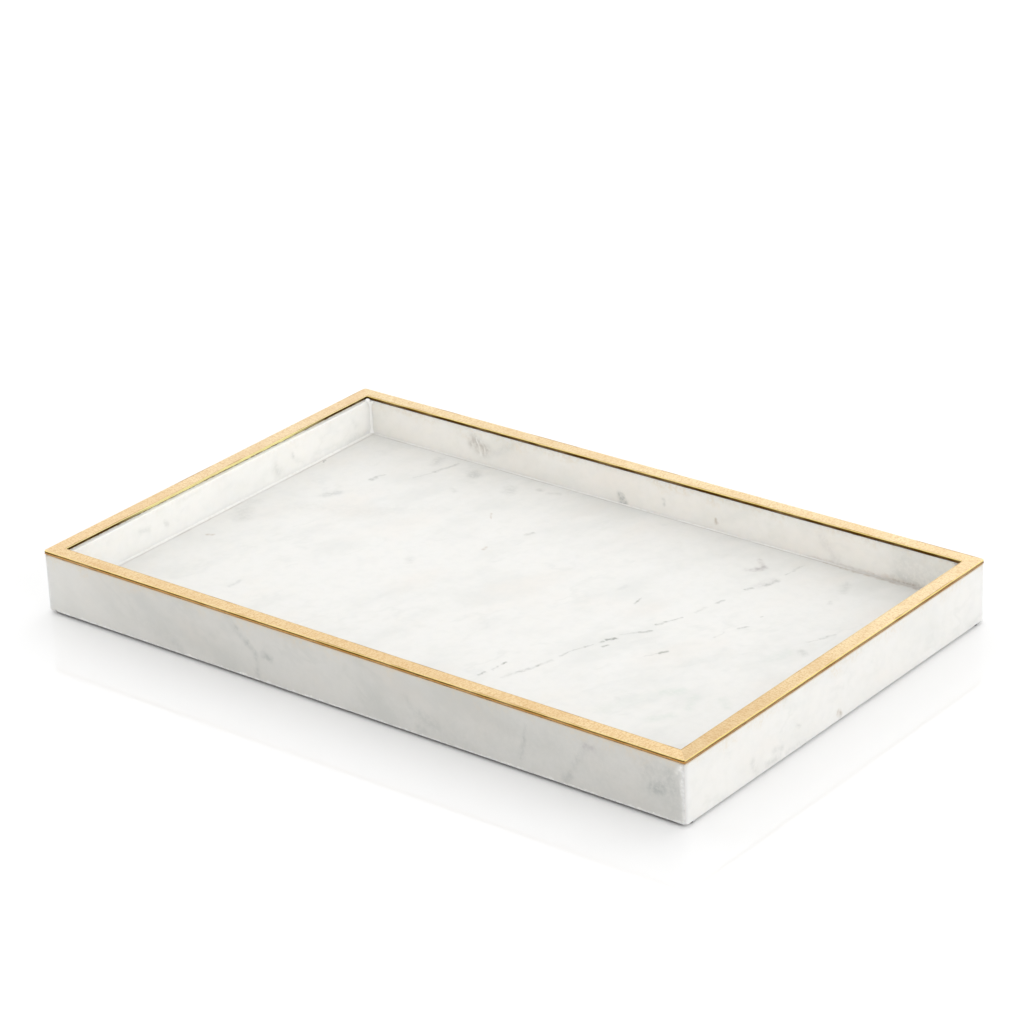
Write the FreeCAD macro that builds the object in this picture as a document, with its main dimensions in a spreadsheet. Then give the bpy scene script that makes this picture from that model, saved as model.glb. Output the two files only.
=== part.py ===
"""Marble tray with a brass rim: a floor slab let in between four mitred walls, under four mitred bars.

The origin is the middle of the footprint on the plane that the feet stand on. +X runs along the tray to
its right-hand end, +Y from front to back and +Z up. All sizes are in millimetres.
"""

import FreeCAD, Part
import os

import Sketcher

# Driving dimensions: name, value, what it is.
DIMENSIONS = [
    ("tray_length", 381.0, "outside length of the walls and the rim"),
    ("tray_width", 241.0, "outside width of the walls and the rim"),
    ("foot_height", 1.3, "thickness of a foot, which is the gap under the walls"),
    ("foot_radius", 2.2, "radius of a foot"),
    ("foot_end_inset", 3.0, "centre of a foot from the outer face of the end wall that it is stuck to"),
    ("foot_long_inset", 5.6, "centre of a foot from the outer face of the long wall beside it"),
    ("foot_edge", 0.3, "rounding of a foot's lower edge"),
    ("wall_height", 29.5, "height of the marble walls"),
    ("long_thick", 7.8, "thickness of the front and back walls"),
    ("end_thick", 10.0, "thickness of the left and right walls"),
    ("wall_bevel", 0.8, "bevel down each outer vertical corner"),
    ("wall_arris", 0.6, "bevel along the outer bottom edge of a wall"),
    ("glue_gap", 0.2, "thickness of the glue between two pieces of marble"),
    ("slab_recess", 0.7, "underside of the slab above the underside of the walls"),
    ("slab_thick", 10.0, "thickness of the floor slab"),
    ("end_bead_width", 1.8, "glue bead on the floor along an end wall"),
    ("end_bead_height", 1.2, "glue bead up the face of an end wall"),
    ("long_bead_width", 0.8, "glue bead on the floor along a long wall"),
    ("long_bead_height", 0.8, "glue bead up the face of a long wall"),
    ("corner_bead", 1.0, "glue bead along each of the two faces of an inner corner"),
    ("bed_thick", 0.3, "thickness of the glue between the walls and the rim"),
    ("bed_inset", 0.2, "edge of that glue inside the edge of the rim bars"),
    ("bar_width", 7.8, "width of a rim bar"),
    ("bar_thick", 1.6, "thickness of a rim bar"),
    ("bar_bevel", 0.3, "bevel on each outer corner of the rim"),
    ("solder_gap", 0.15, "thickness of the solder in a rim mitre"),
]

# Each side: name, turn about Z, length of its outer face, its kind of wall, the kind it meets, and the place
# of the middle of its outer face. Local x runs along the side and local y inwards from that face.
SIDES = [
    ("front", 0, "tray_length", "long", "end", ("0", "-{tray_width} / 2")),
    ("right", 90, "tray_width", "end", "long", ("{tray_length} / 2", "0")),
    ("back", 180, "tray_length", "long", "end", ("0", "{tray_width} / 2")),
    ("left", 270, "tray_width", "end", "long", ("-{tray_length} / 2", "0")),
]

# Each corner: name, turn about Z, the kinds of wall that run along its local y and x, and its place. Local x
# and y both run inwards from the corner, along the two outer faces.
CORNERS = [
    ("front_left", 0, "end", "long", ("-{tray_length} / 2", "-{tray_width} / 2")),
    ("front_right", 90, "long", "end", ("{tray_length} / 2", "-{tray_width} / 2")),
    ("back_right", 180, "end", "long", ("{tray_length} / 2", "{tray_width} / 2")),
    ("back_left", 270, "long", "end", ("-{tray_length} / 2", "{tray_width} / 2")),
]

TINY = 1e-4  # closer than this is the same place

doc = FreeCAD.newDocument("vanity_tray")
CELLS = {}


def fill_sheet():
    """Put the driving dimensions in a spreadsheet, one aliased cell each."""
    sheet = doc.addObject("Spreadsheet::Sheet", "Sizes")
    for row, (name, value, meaning) in enumerate(DIMENSIONS, start=1):
        sheet.set(f"A{row}", name)
        sheet.set(f"B{row}", str(value))
        sheet.set(f"C{row}", meaning)
        sheet.setAlias(f"B{row}", name)
        CELLS[name] = f"Sizes.{name}"
    doc.recompute()


def cells(text):
    """Swap each {name} in an expression for its spreadsheet cell."""
    return text.format(**CELLS)


def new_body(label, place, turn=0):
    """Start a sub-part whose local origin stands at place, turned about Z by turn degrees."""
    body = doc.addObject("PartDesign::Body", label)
    body.Label = label
    body.Placement = FreeCAD.Placement(
        FreeCAD.Vector(), FreeCAD.Rotation(FreeCAD.Vector(0, 0, 1), turn)
    )
    for axis, text in zip("xyz", place):
        body.setExpression(f"Placement.Base.{axis}", cells(text))
    return body


def origin_plane(body, role):
    return next(p for p in body.Origin.OriginFeatures if p.Role == role)


def new_sketch(body, name, role="XY_Plane", lift="0"):
    """A sketch on one of the body's origin planes, lifted along the plane's normal."""
    sketch = body.newObject("Sketcher::SketchObject", name)
    sketch.AttachmentSupport = [(origin_plane(body, role), "")]
    sketch.MapMode = "FlatFace"
    sketch.setExpression("AttachmentOffset.Base.z", cells(lift))
    return sketch


def pin_corner(sketch, line, axis, text):
    """Hold the start of a line at the sketch coordinate that the expression gives."""
    value = float(sketch.evalExpression(cells(text)))
    if abs(value) < TINY:
        sketch.addConstraint(Sketcher.Constraint("PointOnObject", line, 1, -2 if axis == "X" else -1))
        return
    number = sketch.addConstraint(Sketcher.Constraint(f"Distance{axis}", -1, 1, line, 1, value))
    sketch.setExpression(f"Constraints[{number}]", cells(text))


def add_polygon(sketch, corners):
    """Draw a closed polygon; corners are pairs of expressions for their sketch coordinates."""
    points = [
        FreeCAD.Vector(*(float(sketch.evalExpression(cells(text))) for text in corner), 0)
        for corner in corners
    ]
    first = sketch.GeometryCount
    for start, end in zip(points, points[1:] + points[:1]):
        sketch.addGeometry(Part.LineSegment(start, end))
    for number, corner in enumerate(corners):
        before = first + (number - 1) % len(corners)
        line = first + number
        sketch.addConstraint(Sketcher.Constraint("Coincident", before, 2, line, 1))
        for axis, text in zip("XY", corner):
            pin_corner(sketch, line, axis, text)


def pad(body, sketch, name, height, symmetric=False):
    """Extrude a sketch upwards, or to both sides of its plane."""
    feature = body.newObject("PartDesign::Pad", name)
    feature.Profile = sketch
    feature.setExpression("Length", cells(height))
    feature.SideType = "Symmetric" if symmetric else "One side"
    doc.recompute()
    return feature


def mirrored(corners):
    """A polygon given by its right-hand corners, closed with their mirror images in the local Y axis."""
    return corners + [(f"-({x})", y) for x, y in reversed(corners)]


def mitred_corners(length, own, other, gap, bevel):
    """Outline of a strip with a mitre at each end, seen from above.

    own is the strip's thickness and other that of the strip it meets, so the mitre runs from the outer to
    the inner corner. The mitre face stands back by half the gap, and the bevel blunts the outer corner.
    """
    back = f"({gap} / 2 * sqrt({own}^2 + {other}^2) / {own})"
    share = f"(({bevel} - {back}) / ({own} + {other}))"
    return mirrored([
        (f"{length} / 2 - {bevel}", "0"),
        (f"{length} / 2 - {back} - {other} * {share}", f"{own} * {share}"),
        (f"{length} / 2 - {back} - {other}", own),
    ])


def mitre_sheet_corners(along_y, along_x, gap, bevel):
    """Outline of the thin joint that fills a mitre, from the bevelled outer corner to the inner one.

    along_y is the thickness of the strip that runs along local y, and along_x that of the other.
    """
    length = f"sqrt({along_y}^2 + {along_x}^2)"
    back_x = f"({gap} / 2 * {length} / {along_x})"
    back_y = f"({gap} / 2 * {length} / {along_y})"
    share_x = f"(({bevel} - {back_x}) / ({along_y} + {along_x}))"
    share_y = f"(({bevel} - {back_y}) / ({along_y} + {along_x}))"
    return [
        (f"{back_x} + {along_y} * {share_x}", f"{along_x} * {share_x}"),
        (f"{along_y} + {back_x}", along_x),
        (along_y, along_x),
        (along_y, f"{along_x} + {back_y}"),
        (f"{along_y} * {share_y}", f"{back_y} + {along_x} * {share_y}"),
    ]


def make_walls():
    """Four marble walls, mitred to each other, with their outer edges eased."""
    for side, turn, length, own, other, place in SIDES:
        body = new_body(f"{side}_wall", (*place, "{foot_height}"), turn)
        sketch = new_sketch(body, f"{side}_wall_outline")
        add_polygon(sketch, mitred_corners(
            f"{{{length}}}", f"{{{own}_thick}}", f"{{{other}_thick}}", "{glue_gap}", "{wall_bevel}"
        ))
        strip = pad(body, sketch, f"{side}_wall_strip", "{wall_height}")
        ease_bottom(body, strip, f"{side}_wall_arris")


def ease_bottom(body, strip, name):
    """Bevel the bottom edges of a wall's outer face and of its two corner bevels."""
    bevel = float(strip.evalExpression(cells("{wall_bevel}")))
    # The feature's shape is in the body's local frame: outer face at y = 0, bottom at z = 0.
    edges = [
        f"Edge{number}"
        for number, edge in enumerate(strip.Shape.Edges, start=1)
        if edge.BoundBox.ZMax < TINY and edge.BoundBox.YMax < bevel
    ]
    arris = body.newObject("PartDesign::Chamfer", name)
    arris.Base = (strip, edges)
    arris.setExpression("Size", cells("{wall_arris}"))
    doc.recompute()
    if arris.Shape.Volume >= strip.Shape.Volume:
        raise RuntimeError(f"{name} took nothing off the wall")


def make_slab():
    """The marble floor, let in between the walls with a glue gap all round."""
    body = new_body("base_slab", ("0", "0", "{foot_height} + {slab_recess}"))
    sketch = new_sketch(body, "base_slab_outline")
    half_x = "({tray_length} / 2 - {end_thick} - {glue_gap})"
    half_y = "({tray_width} / 2 - {long_thick} - {glue_gap})"
    add_polygon(sketch, mirrored([(half_x, f"-{half_y}"), (half_x, half_y)]))
    pad(body, sketch, "base_slab_block", "{slab_thick}")


def make_corner_glue():
    """Glue in each wall mitre, with a bead up the inner corner above the beads on the floor."""
    floor = "({slab_recess} + {slab_thick} + {end_bead_height})"
    for corner, turn, kind_y, kind_x, place in CORNERS:
        along_y = f"{{{kind_y}_thick}}"
        along_x = f"{{{kind_x}_thick}}"
        name = f"corner_adhesive_{corner}"
        body = new_body(name, (*place, "{foot_height}"), turn)
        sketch = new_sketch(body, f"{name}_sheet")
        add_polygon(sketch, mitre_sheet_corners(along_y, along_x, "{glue_gap}", "{wall_bevel}"))
        pad(body, sketch, f"{name}_fill", "{wall_height}")
        bead = new_sketch(body, f"{name}_bead", lift=floor)
        add_polygon(bead, [
            (along_y, along_x),
            (f"{along_y} + {{corner_bead}}", along_x),
            (along_y, f"{along_x} + {{corner_bead}}"),
        ])
        pad(body, bead, f"{name}_bead_fill", f"{{wall_height}} - {floor}")


def make_slab_glue():
    """Glue between the slab's edge and each wall, with a bead on the floor, mitred at the corners."""
    for side, turn, length, own, other, (place_x, place_y) in SIDES:
        name = f"slab_adhesive_{side}"
        body = new_body(name, (place_x, place_y, "{foot_height} + {slab_recess}"), turn)
        inner_face = f"{{{own}_thick}}"
        width = f"{{{own}_bead_width}}"
        height = f"{{{own}_bead_height}}"
        half = f"({{{length}}} / 2 - {{{other}_thick}})"
        section = new_sketch(body, f"{name}_section", role="YZ_Plane")
        add_polygon(section, [
            (inner_face, "0"),
            (f"{inner_face} + {{glue_gap}}", "0"),
            (f"{inner_face} + {{glue_gap}}", "{slab_thick}"),
            (f"{inner_face} + {width}", "{slab_thick}"),
            (inner_face, f"{{slab_thick}} + {height}"),
        ])
        strip = pad(body, section, f"{name}_strip", f"2 * {half}", symmetric=True)
        ends = new_sketch(body, f"{name}_mitres")
        cut_back = f"{{{other}_bead_width}}"
        for sign in ("", "-"):
            add_polygon(ends, [
                (f"{sign}{half}", inner_face),
                (f"{sign}{half}", f"{inner_face} + {width}"),
                (f"{sign}({half} - {cut_back})", f"{inner_face} + {width}"),
            ])
        mitres = body.newObject("PartDesign::Pocket", f"{name}_mitre_cuts")
        mitres.Profile = ends
        mitres.Type = "ThroughAll"
        mitres.SideType = "Symmetric"
        doc.recompute()
        if mitres.Shape.Volume >= strip.Shape.Volume:
            raise RuntimeError(f"the mitres of {name} took nothing off")


def make_rim_glue():
    """One ring of glue between the top of the walls and the underside of the brass frame."""
    body = new_body("rim_adhesive", ("0", "0", "{foot_height} + {wall_height}"))
    sketch = new_sketch(body, "rim_adhesive_ring")
    for inset in ("{bed_inset}", "({bar_width} - {bed_inset})"):
        half_x = f"({{tray_length}} / 2 - {inset})"
        half_y = f"({{tray_width}} / 2 - {inset})"
        add_polygon(sketch, mirrored([(half_x, f"-{half_y}"), (half_x, half_y)]))
    pad(body, sketch, "rim_adhesive_bed", "{bed_thick}")


def make_rim():
    """Four brass bars mitred at 45 degrees, and the solder that joins them."""
    height = "{foot_height} + {wall_height} + {bed_thick}"
    for side, turn, length, _, _, place in SIDES:
        body = new_body(f"rim_bar_{side}", (*place, height), turn)
        sketch = new_sketch(body, f"rim_bar_{side}_outline")
        add_polygon(sketch, mitred_corners(
            f"{{{length}}}", "{bar_width}", "{bar_width}", "{solder_gap}", "{bar_bevel}"
        ))
        pad(body, sketch, f"rim_bar_{side}_strip", "{bar_thick}")
    for corner, turn, _, _, place in CORNERS:
        body = new_body(f"rim_solder_{corner}", (*place, height), turn)
        sketch = new_sketch(body, f"rim_solder_{corner}_sheet")
        add_polygon(sketch, mitre_sheet_corners(
            "{bar_width}", "{bar_width}", "{solder_gap}", "{bar_bevel}"
        ))
        pad(body, sketch, f"rim_solder_{corner}_fill", "{bar_thick}")


def make_feet():
    """A small rubber disc under each end of both end walls."""
    for corner, turn, _, _, (place_x, place_y) in CORNERS:
        toward_x = "+" if place_x.startswith("-") else "-"
        toward_y = "+" if place_y.startswith("-") else "-"
        place_x = f"{place_x} {toward_x} {{foot_end_inset}}"
        place_y = f"{place_y} {toward_y} {{foot_long_inset}}"
        body = new_body(f"foot_{corner}", (place_x, place_y, "0"), turn)
        sketch = new_sketch(body, f"foot_{corner}_outline")
        radius = float(sketch.evalExpression(cells("{foot_radius}")))
        circle = sketch.addGeometry(Part.Circle(FreeCAD.Vector(), FreeCAD.Vector(0, 0, 1), radius))
        sketch.addConstraint(Sketcher.Constraint("Coincident", circle, 3, -1, 1))
        number = sketch.addConstraint(Sketcher.Constraint("Radius", circle, radius))
        sketch.setExpression(f"Constraints[{number}]", cells("{foot_radius}"))
        disc = pad(body, sketch, f"foot_{corner}_disc", "{foot_height}")
        lower_edge = next(
            f"Edge{index}"
            for index, edge in enumerate(disc.Shape.Edges, start=1)
            if edge.BoundBox.ZMax < TINY
        )
        rounding = body.newObject("PartDesign::Fillet", f"foot_{corner}_rounding")
        rounding.Base = (disc, [lower_edge])
        rounding.setExpression("Radius", cells("{foot_edge}"))
        doc.recompute()


def check_document():
    """Stop if any object failed, or if any sub-part is empty, invalid or not one solid."""
    for item in doc.Objects:
        if "Invalid" in item.State or "Error" in item.State:
            raise RuntimeError(f"{item.Label} failed: {item.State}")
    bodies = doc.findObjects("PartDesign::Body")
    for body in bodies:
        shape = body.Shape
        if shape.isNull() or not shape.isValid() or len(shape.Solids) != 1:
            raise RuntimeError(f"{body.Label} is not one valid solid")
    return bodies


def write_parts(bodies):
    """Write one STEP file for each sub-part, named by its label."""
    os.makedirs("parts", exist_ok=True)
    for body in bodies:
        body.Shape.exportStep(os.path.join("parts", f"{body.Label}.step"))
        print(f"{body.Label}: {body.Shape.Volume:.1f} mm3")


fill_sheet()
make_slab()
make_walls()
make_corner_glue()
make_slab_glue()
make_rim_glue()
make_rim()
make_feet()
doc.recompute()
write_parts(check_document())
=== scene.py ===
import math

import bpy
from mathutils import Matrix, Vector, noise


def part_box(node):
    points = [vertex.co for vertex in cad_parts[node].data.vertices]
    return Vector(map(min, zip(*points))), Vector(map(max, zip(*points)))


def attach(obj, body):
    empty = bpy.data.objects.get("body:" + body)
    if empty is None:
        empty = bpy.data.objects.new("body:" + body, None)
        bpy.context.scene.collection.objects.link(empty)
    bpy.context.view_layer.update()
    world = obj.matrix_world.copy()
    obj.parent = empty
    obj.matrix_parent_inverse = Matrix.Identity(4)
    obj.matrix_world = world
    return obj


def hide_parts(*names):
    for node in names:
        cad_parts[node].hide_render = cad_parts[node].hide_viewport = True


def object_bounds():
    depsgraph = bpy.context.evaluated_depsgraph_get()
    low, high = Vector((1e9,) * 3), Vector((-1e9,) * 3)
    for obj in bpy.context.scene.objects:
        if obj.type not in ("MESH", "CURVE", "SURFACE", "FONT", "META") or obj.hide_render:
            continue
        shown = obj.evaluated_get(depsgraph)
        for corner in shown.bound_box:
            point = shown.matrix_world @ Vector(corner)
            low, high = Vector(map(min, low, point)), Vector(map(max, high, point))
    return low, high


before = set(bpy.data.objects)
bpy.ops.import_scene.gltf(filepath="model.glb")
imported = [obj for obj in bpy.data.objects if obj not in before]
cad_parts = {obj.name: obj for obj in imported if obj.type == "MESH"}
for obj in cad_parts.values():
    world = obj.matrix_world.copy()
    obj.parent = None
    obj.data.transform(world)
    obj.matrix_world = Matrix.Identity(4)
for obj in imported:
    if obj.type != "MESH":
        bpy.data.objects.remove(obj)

# The looks of a marble vanity tray with a brushed brass rim. The places and sizes of the pieces come from the
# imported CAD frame, in metres; what is set here is finer, such as how an edge is eased. Four sides (front,
# right, back, left) each have a marble wall, a brass bar and a run of glue along the floor. A side's own axes
# are x along it, y inwards from its outer face and z up, so one set of functions builds all four.

cad_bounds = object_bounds()

MM = 0.001
BODY = "root"

# ---------- Sizes, seeds and sides ----------


def extent(node):
    """Size of a CAD node along x, y and z."""
    low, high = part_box(node)
    return high - low


TRAY_LOW = Vector(cad_bounds[0])
TRAY_HIGH = Vector(cad_bounds[1])
TRAY = TRAY_HIGH - TRAY_LOW
SLAB_LOW, SLAB_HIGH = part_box("base_slab")
WALL_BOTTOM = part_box("front_wall")[0].z
WALL_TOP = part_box("front_wall")[1].z
BAR_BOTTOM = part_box("rim_bar_front")[0].z
BAR_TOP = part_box("rim_bar_front")[1].z
BAR_WIDTH = extent("rim_bar_front").y
LONG_THICK = extent("front_wall").y
END_THICK = extent("right_wall").x
GLUE_GAP = TRAY_HIGH.x - END_THICK - SLAB_HIGH.x
SOLDER_GAP = 0.15 * MM

# Rounding of the tray's four upright corners, in the marble and in the brass.
STONE_CORNER = 2.2 * MM
BRASS_CORNER = 1.5 * MM
# Distance between the rings of each kind of strip.
STONE_STEP = 2.0 * MM
BRASS_STEP = 2.5 * MM
BEAD_STEP = 1.5 * MM
# Where each kind of piece starts in the noise that makes its edges uneven; a side takes ten seeds.
WALL_SEED = 1
BAR_SEED = 60
CORNER_SEED = 200
DROP_SEED = 230
BEAD_SEED = 300
RIM_GLUE_SEED = 400

SIDES = {
    "front": dict(turn=0, length=TRAY.x, depth=TRAY.y / 2, thick=LONG_THICK, meets=END_THICK),
    "right": dict(turn=90, length=TRAY.y, depth=TRAY.x / 2, thick=END_THICK, meets=LONG_THICK),
    "back": dict(turn=180, length=TRAY.x, depth=TRAY.y / 2, thick=LONG_THICK, meets=END_THICK),
    "left": dict(turn=270, length=TRAY.y, depth=TRAY.x / 2, thick=END_THICK, meets=LONG_THICK),
}
# Each corner and the two sides that meet there: the one that ends at it and the one that starts from it.
CORNERS = {
    "front_right": ("front", "right"),
    "back_right": ("right", "back"),
    "back_left": ("back", "left"),
    "front_left": ("left", "front"),
}
BEADS = {
    side: dict(
        width=extent(f"slab_adhesive_{side}")[1 if side in ("front", "back") else 0],
        height=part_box(f"slab_adhesive_{side}")[1].z - SLAB_HIGH.z,
    )
    for side in SIDES
}


def side_matrix(side):
    """From a side's own axes to the tray's frame."""
    turn = Matrix.Rotation(math.radians(SIDES[side]["turn"]), 4, "Z")
    return turn @ Matrix.Translation((0, -SIDES[side]["depth"], 0))


# ---------- Mesh work ----------


def add_piece(name, vertices, faces, material, node, slot, smooth_angle=40):
    """A finished piece that stands for a CAD node."""
    mesh = bpy.data.meshes.new(name)
    mesh.from_pydata(vertices, [], faces)
    mesh.validate()
    mesh.materials.append(material)
    mesh.shade_smooth()
    mesh.set_sharp_from_angle(angle=math.radians(smooth_angle))
    piece = bpy.data.objects.new(name, mesh)
    bpy.context.scene.collection.objects.link(piece)
    weighted = piece.modifiers.new("weighted normals", "WEIGHTED_NORMAL")
    weighted.keep_sharp = True
    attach(piece, BODY)
    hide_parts(node)


def skin(rings, closed=False):
    """Vertices and faces of a tube through rings of points; an open tube gets a flat cap at each end."""
    count = len(rings[0])
    vertices = [point for ring in rings for point in ring]
    faces = []
    pairs = [(a, a + 1) for a in range(len(rings) - 1)]
    if closed:
        pairs.append((len(rings) - 1, 0))
    for a, b in pairs:
        for i in range(count):
            j = (i + 1) % count
            faces.append((a * count + i, a * count + j, b * count + j, b * count + i))
    if not closed:
        last = (len(rings) - 1) * count
        faces.append(tuple(reversed(range(count))))
        faces.append(tuple(range(last, last + count)))
    return vertices, faces


def merged(*parts):
    """Several (vertices, faces) pairs as one."""
    vertices, faces = [], []
    for part_vertices, part_faces in parts:
        start = len(vertices)
        vertices += part_vertices
        faces += [tuple(start + i for i in face) for face in part_faces]
    return vertices, faces


def rough(x, seed, pitch):
    """Smooth seeded noise from -1 to 1 along a line; pitch is the length of one bump."""
    return noise.noise(Vector((x / pitch, seed * 7.31, seed * 1.77)))


def spread(steps):
    """Shares from -1 to 1, in equal steps."""
    return [-1 + 2 * step / steps for step in range(steps + 1)]


def arc(centre, radius, start, end, steps):
    """Points on an ellipse's arc, in degrees; radius is one number or a pair."""
    wide, tall = radius if isinstance(radius, tuple) else (radius, radius)
    points = []
    for step in range(steps + 1):
        angle = math.radians(start + (end - start) * step / steps)
        points.append((centre[0] + wide * math.cos(angle), centre[1] + tall * math.sin(angle)))
    return points


def circle(centre, radius, count):
    return arc(centre, radius, 0, 360, count)[:-1]


def corner_turn(half, radius, mitre):
    """Angle, in radians, at which a rounded outer corner meets the mitre plane."""
    low, high = 0.0, math.radians(89)
    for _ in range(40):
        middle = (low + high) / 2
        x = half - radius + radius * math.sin(middle)
        y = radius - radius * math.cos(middle)
        low, high = (middle, high) if x < mitre(y) else (low, middle)
    return low


def mitred_rings(length, own, other, gap, radius, section, spacing):
    """Rings of a strip that is mitred at both ends and rounded at its two outer corners.

    own and other are the thicknesses of the strip and of what it meets, and gap is the width of the joint
    between them. radius is that of the outer corners. section(x) gives the outline at that place as (y, z)
    pairs. The last ring at each end lies in the mitre plane, half a gap back from it.
    """
    half = length / 2
    back = gap / 2 * math.hypot(own, other) / own

    def mitre(y):
        return half - back - other * y / own

    meet = corner_turn(half, radius, mitre)
    lead_in = 0.3 * MM  # the end rings' reach along the inner edge
    turns = 4

    def end_ring(share):
        angle = meet * share
        outer_x = half - radius + radius * math.sin(angle)
        outer_y = radius - radius * math.cos(angle)
        inner_x = mitre(own) - lead_in * (1 - share)
        ring = []
        for y, z in section(outer_x):
            depth = y / own
            ring.append((outer_x + (inner_x - outer_x) * depth, outer_y + (own - outer_y) * depth, z))
        return ring

    ends = [end_ring(share / turns) for share in range(turns + 1)]
    reach = half - radius
    inner_reach = mitre(own) - lead_in
    steps = max(2, round(2 * reach / spacing))
    rings = [[(-x, y, z) for x, y, z in ring] for ring in reversed(ends)]
    for share in spread(steps)[1:-1]:
        rings.append([
            (share * (reach + (inner_reach - reach) * y / own), y, z)
            for y, z in section(share * reach)
        ])
    return rings + ends


def placed(rings, matrix):
    return [[matrix @ Vector(point) for point in ring] for ring in rings]


# ---------- Short ways to write node trees ----------


class Nodes:
    """Adds nodes to one tree. An input may be a number, a tuple or another node's output."""

    def __init__(self, tree):
        self.tree = tree
        tree.nodes.clear()

    def add(self, kind, inputs=None, **settings):
        node = self.tree.nodes.new(kind)
        for key, value in settings.items():
            setattr(node, key, value)
        for key, value in (inputs or {}).items():
            self.put(node.inputs[key], value)
        return node

    def put(self, socket, value):
        if isinstance(value, bpy.types.NodeSocket):
            self.tree.links.new(value, socket)
        else:
            socket.default_value = value

    def math(self, operation, *values, clamp=False):
        node = self.add("ShaderNodeMath", dict(enumerate(values)), operation=operation, use_clamp=clamp)
        return node.outputs[0]

    def vector(self, operation, *values, scale=None):
        node = self.add("ShaderNodeVectorMath", dict(enumerate(values)), operation=operation)
        if scale is not None:
            self.put(node.inputs["Scale"], scale)
        return node.outputs["Value" if operation in ("DOT_PRODUCT", "LENGTH", "DISTANCE") else "Vector"]

    def times(self, a, b):
        return self.math("MULTIPLY", a, b)

    def part(self, vector, axis):
        """One of a vector's three numbers; axis is X, Y or Z."""
        return self.add("ShaderNodeSeparateXYZ", {"Vector": vector}).outputs[axis]

    def noise(self, place, scale, detail=3.0, roughness=0.6, output="Fac"):
        inputs = {"Vector": place, "Scale": scale, "Detail": detail, "Roughness": roughness}
        return self.add("ShaderNodeTexNoise", inputs).outputs[output]

    def ramp(self, value, low, high, to_low=0.0, to_high=1.0, smooth=True):
        """Value, which goes from low to high, eased to go from to_low to to_high."""
        inputs = {"Value": value, 1: low, 2: high, 3: to_low, 4: to_high}
        kind = "SMOOTHSTEP" if smooth else "LINEAR"
        return self.add("ShaderNodeMapRange", inputs, interpolation_type=kind).outputs[0]

    def mix(self, factor, a, b):
        node = self.add("ShaderNodeMix", data_type="RGBA", clamp_factor=True)
        for socket, value in zip([s for s in node.inputs if s.enabled], (factor, a, b)):
            self.put(socket, value)
        return next(s for s in node.outputs if s.enabled)

    def bump(self, height, distance, strength=1.0, normal=None):
        inputs = {"Height": height, "Distance": distance, "Strength": strength}
        if normal is not None:
            inputs["Normal"] = normal
        return self.add("ShaderNodeBump", inputs).outputs[0]

    def place(self):
        """The point's place in the tray's frame, in millimetres."""
        where = self.add("ShaderNodeTexCoord").outputs["Object"]
        return self.vector("SCALE", where, scale=1 / MM)

    def stretched(self, place, direction, share):
        """The place with its part along a direction shrunk to a share, so that noise there runs along it."""
        axis = Vector(direction).normalized()
        along = self.vector("DOT_PRODUCT", place, tuple(axis))
        shift = self.vector("SCALE", tuple(axis), scale=self.times(along, share - 1))
        return self.vector("ADD", place, shift)


def new_material(name):
    """A material, the writer of its nodes and the point's place."""
    material = bpy.data.materials.new(name)
    material.use_nodes = True
    nodes = Nodes(material.node_tree)
    return material, nodes, nodes.place()


def finish_material(nodes, **inputs):
    """Add the shader and the output; keys are the shader's socket names with _ for a space."""
    shader = nodes.add("ShaderNodeBsdfPrincipled")
    for key, value in inputs.items():
        nodes.put(shader.inputs[key.replace("_", " ")], value)
    output = nodes.add("ShaderNodeOutputMaterial")
    nodes.put(output.inputs["Surface"], shader.outputs[0])


# ---------- Marble ----------

# Clean stone in each piece. The tones differ partly as painted light and shade: the front wall, turned away
# from the light, is painted darkest, and the left wall, whose inner face is turned to it, palest.
STONE = {
    "slab": (0.803, 0.797, 0.770),
    "front": (0.665, 0.655, 0.622),
    "right": (0.845, 0.835, 0.805),
    "back": (0.885, 0.865, 0.822),
    "left": (0.915, 0.908, 0.880),
}
# What clouds and warm patches make of the clean stone, and how strong the warm patches, wisps and mottle are.
CLOUD_TINT = (0.865, 0.878, 0.875)
WARM_TINT = (1.00, 0.95, 0.91)
WARMTH = 0.35
WISPS = 0.36
MOTTLE = 0.20
# The front wall runs paler towards its left end: from this place, in mm, to this much at the very end.
PALE_FROM, PALE_AMOUNT = -110.0, 0.28
# How far noise moves the edges of the marks, in mm, and what it leaves of them where it is weakest.
MARK_SWAY = 4.0
MARK_LEAST = 0.45
# Grey-brown dirt, also used as painted shade at the foot of the floor's glue beads and in the back right
# corner.
GRIME_AND_SHADE = (0.50, 0.46, 0.42, 1)
# The sawn undersides: dirty grey under the slab and the back wall, painted nearly black under the front wall
# as painted shade in its gap, and painted pale under the end walls as painted light in theirs.
SAWN_TONE_AND_PAINTED_LIGHT = {
    "slab": (0.32, 0.30, 0.275, 1),
    "front": (0.10, 0.09, 0.075, 1),
    "right": (0.93, 0.925, 0.90, 1),
    "back": (0.32, 0.30, 0.275, 1),
    "left": (0.80, 0.79, 0.76, 1),
}
MARKS = {
    "dark": (0.27, 0.28, 0.25, 1),
    "grey": (0.44, 0.45, 0.43, 1),
    "green": (0.60, 0.66, 0.60, 1),
    "brown": (0.42, 0.33, 0.24, 1),
    "purple": (0.52, 0.50, 0.49, 1),
    "stain": (0.74, 0.61, 0.42, 1),
    "white": (0.93, 0.92, 0.88, 1),
}


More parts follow.
